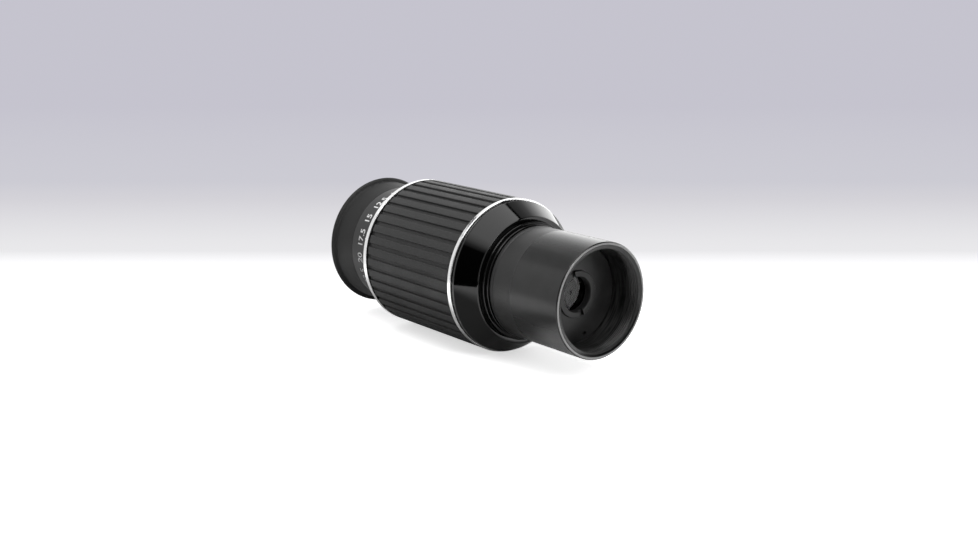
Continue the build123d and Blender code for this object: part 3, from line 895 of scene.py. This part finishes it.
def paper_material():
    """White paper that partly glows, with painted shade that falls off to a cool grey behind the
    object.
    """
    material, made, links = new_material("paper")
    out = made.new("ShaderNodeOutputMaterial")
    away = along(made, links, AWAY)
    tone = tone_ramp(made, links, rise(made, links, away, PAPER[0][0], PAPER[-1][0]), PAPER)
    white = made.new("ShaderNodeBsdfDiffuse")
    gain = made.new("ShaderNodeVectorMath")
    gain.operation = "SCALE"
    gain.inputs["Scale"].default_value = PAPER_GAIN
    links.new(tone, gain.inputs[0])
    links.new(gain.outputs["Vector"], white.inputs["Color"])
    glow = made.new("ShaderNodeEmission")
    links.new(tone, glow.inputs["Color"])
    fade = remap(made, links, away, PAPER_GLOW, 1.0, start=0.03, end=0.14)
    mix = made.new("ShaderNodeMixShader")
    links.new(fade, mix.inputs["Fac"])
    links.new(white.outputs["BSDF"], mix.inputs[1])
    links.new(glow.outputs["Emission"], mix.inputs[2])
    links.new(mix.outputs["Shader"], out.inputs["Surface"])
    return material


floor = stage_plane("floor", (0, 0, FLOOR_Z), (30, 0, 0), (0, 30, 0), paper_material())
floor.visible_glossy = False
floor.visible_transmission = False
floor.visible_diffuse = False
floor.visible_shadow = False

TABLE_DROP = 0.0001             # under the floor, in metres
# table tones: open, then painted shade to the far left, near and behind, and a painted contact shadow
# in the gap beside the cone
OPEN_TONE, LEFT_SHADE_TONE, NEAR_SHADOW_TONE, BEHIND_SHADE_TONE, GAP_SHADOW_TONE = 1.35, 0.7, 0.5, 0.3, 0.3


def table_material():
    """Matt table: pale in the open, with painted shade to the far left, near and behind, and a painted
    contact shadow beside the cone.
    """
    material, shader, made, links = surface("table", (0.4,) * 3, 0.9)
    x = along(made, links, (1.0, 0.0, 0.0))
    toward_viewer = along(made, links, (0.0, -1.0, 0.0))
    far_left_shade = fall(made, links, x, -0.118, -0.102)
    near = fall(made, links, toward_viewer, 0.03, 0.05)
    near = multiply(made, links, near, fall(made, links, x, -0.02, 0.002))
    behind = fall(made, links, toward_viewer, -0.05, 0.0)
    behind = multiply(made, links, behind, fall(made, links, x, 0.0, 0.05))
    gap_shadow = rise(made, links, toward_viewer, 0.0, 0.012)
    gap_shadow = multiply(made, links, gap_shadow, rise(made, links, x, -0.022, -0.01))
    gap_shadow = multiply(made, links, gap_shadow, fall(made, links, x, 0.0, 0.008))
    # painted shade and shadow laid over the open table's tone
    tone = blend_values(made, links, far_left_shade, OPEN_TONE, LEFT_SHADE_TONE)
    tone = blend_values(made, links, near, tone, NEAR_SHADOW_TONE)
    tone = blend_values(made, links, behind, tone, BEHIND_SHADE_TONE)
    links.new(blend_colors(made, links, gap_shadow, tone, GAP_SHADOW_TONE), shader.inputs["Base Color"])
    return material


# only mirror-like rays see the table: it is what the object mirrors from below
table_finish = table_material()
for name, x, y, half_width, half_depth in (
    ("table", 0, 1.355, 3.0, 1.5),
    ("table_left", -1.54, -0.4, 1.5, 0.255),
):
    middle = (x, y, FLOOR_Z - TABLE_DROP)
    table = stage_plane(name, middle, (half_width, 0, 0), (0, half_depth, 0), table_finish)
    table.visible_camera = False
    table.visible_transmission = False
    table.visible_diffuse = False

softbox(
    "overhead",
    middle=(0.1, -0.21, 0.6),
    across=(0.52, 0, 0),
    up=(0, 0.49, 0),
    stops=[(-0.71, 0.0), (-0.6, 0.35), (-0.47, 1.2), (-0.35, 1.75), (0.25, 2.1)],
    direction=(0, 1, 0),
)
softbox(
    "back",
    middle=(-0.25, 1.0, 0.9),
    across=(0.75, 0, 0),
    up=(0, 0, 0.9),
    stops=[(0.05, 2.4), (0.4, 2.3), (0.65, 1.5), (1.0, 0.6), (1.3, 0.4), (1.75, 0.3)],
)
softbox(
    "left",
    middle=(-1.0, 0.53, 0.47),
    across=(0, 0.47, 0),
    up=(0, 0, 0.49),
    stops=[(0.06, 0.95), (0.5, 1.1), (0.8, 1.85), (1.0, 2.4)],
    direction=(0, 1, 0),
)
softbox(
    "left_low",
    middle=(-1.0, -0.175, 0.38),
    across=(0, 0.235, 0),
    up=(0, 0, 0.4),
    stops=[(0.0, 1.05), (1.0, 1.05)],
)
softbox(
    "front_top",
    middle=(0.62, -0.1, 0.44),
    across=(0.0, 0.15, 0),
    up=(-0.09, 0, 0.12),
    stops=[(0.0, 6.5), (0.76, 6.5)],
)
softbox(
    "front",
    middle=(0.58, -0.5, 0.36),
    across=(0.12, 0.14, 0),
    up=(0, 0, 0.4),
    stops=[(0.0, 0.5), (0.76, 0.7)],
)
softbox(
    "side",
    middle=(-0.32, -0.19, 0.129),
    across=(0.27, 0, 0),
    up=(0, 0, 0.151),
    stops=[(-0.022, 0.75), (0.28, 0.8)],
)

world = bpy.data.worlds.new("studio")
world.use_nodes = True
world.node_tree.nodes["Background"].inputs["Color"].default_value = (0.0, 0.0, 0.0, 1.0)
bpy.context.scene.world = world
